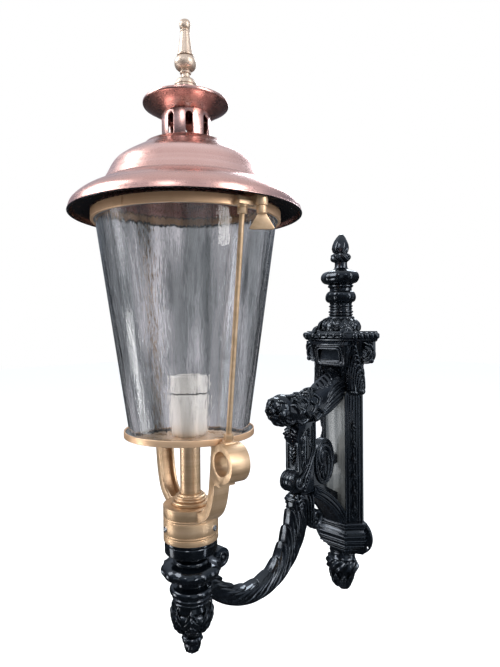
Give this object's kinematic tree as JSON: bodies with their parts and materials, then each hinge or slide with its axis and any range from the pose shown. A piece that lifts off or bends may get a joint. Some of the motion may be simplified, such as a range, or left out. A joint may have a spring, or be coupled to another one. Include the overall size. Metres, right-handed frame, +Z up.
{
  "type": "wall lantern",
  "caption": "Round tapered glass street lantern with a hinged copper roof, brass frog and collar, on a black cast swan-neck wall bracket.",
  "frame": {"origin": "on the wall face, on the bracket's plane of symmetry, where the strut meets the beast's neck", "axes": "+Z up, +Y into the wall, +X to the right for someone who faces the wall"},
  "size_m": [0.38, 0.64, 1.108],
  "materials": {
    "black_iron": "gloss black enamel on cast metal",
    "copper": "lacquered copper, spun and polished",
    "brass": "brushed and lacquered brass",
    "steel": "bright plated steel",
    "glass": "clear drawn glass with faint ripples",
    "porcelain": "white glazed porcelain",
    "rubber": "grey sealing strip"
  },
  "bodies": {
    "lamp_frame": {"wall_plate": "black_iron", "pillar": "black_iron", "leaf_drops": "black_iron", "plinth": "black_iron", "capital": "black_iron", "console": "black_iron", "scroll_corbels": "black_iron", "top_finial": "black_iron", "bottom_finial": "black_iron", "beast_neck": "black_iron", "strut": "black_iron", "leaf_medallion": "black_iron", "arch_brace": "black_iron", "brace_volute": "black_iron", "swan_arm": "black_iron", "socket_volute": "black_iron", "lamp_socket": "black_iron", "spigot": "steel", "pendant": "black_iron", "frog": "brass", "grub_screws": "steel", "centre_tube": "brass", "tube_foot": "brass", "tube_lock_nut": "brass", "ear_bolts": "steel", "gallery_ring": "copper", "lower_gasket": "rubber", "holder_plate": "brass", "holder_base": "porcelain", "holder_body": "porcelain", "screw_shell": "brass", "centre_contact": "brass", "holder_screws": "steel", "glass": "glass", "upper_gasket": "rubber", "tie_rods": "brass", "rod_nuts_lower": "brass", "rod_nuts_upper": "brass", "upper_ring": "copper", "latch_bracket": "brass", "hinge_bracket": "brass", "hinge_pin": "steel"},
    "roof": {"roof_hinge_leaf": "brass", "roof_seat": "copper", "roof_dome": "copper", "roof_tab": "brass", "roof_rivets": "brass", "chimney": "copper", "chimney_cap": "copper", "cap_stud": "steel", "roof_finial": "brass"},
    "latch_screw": {"thumb_screw": "brass"}
  },
  "joints": [
    {"name": "roof_hinge", "type": "hinge", "parent": "lamp_frame", "child": "roof", "pos_m": [-0.16624, -0.42069, 0.384], "axis": [-0.1736, -0.9848, 0], "range_deg": [0, 75]},
    {"name": "latch_turn", "type": "hinge", "parent": "lamp_frame", "child": "latch_screw", "pos_m": [0.17656, -0.45925, 0.36], "axis": [0, 0, 1], "continuous": true}
  ]
}
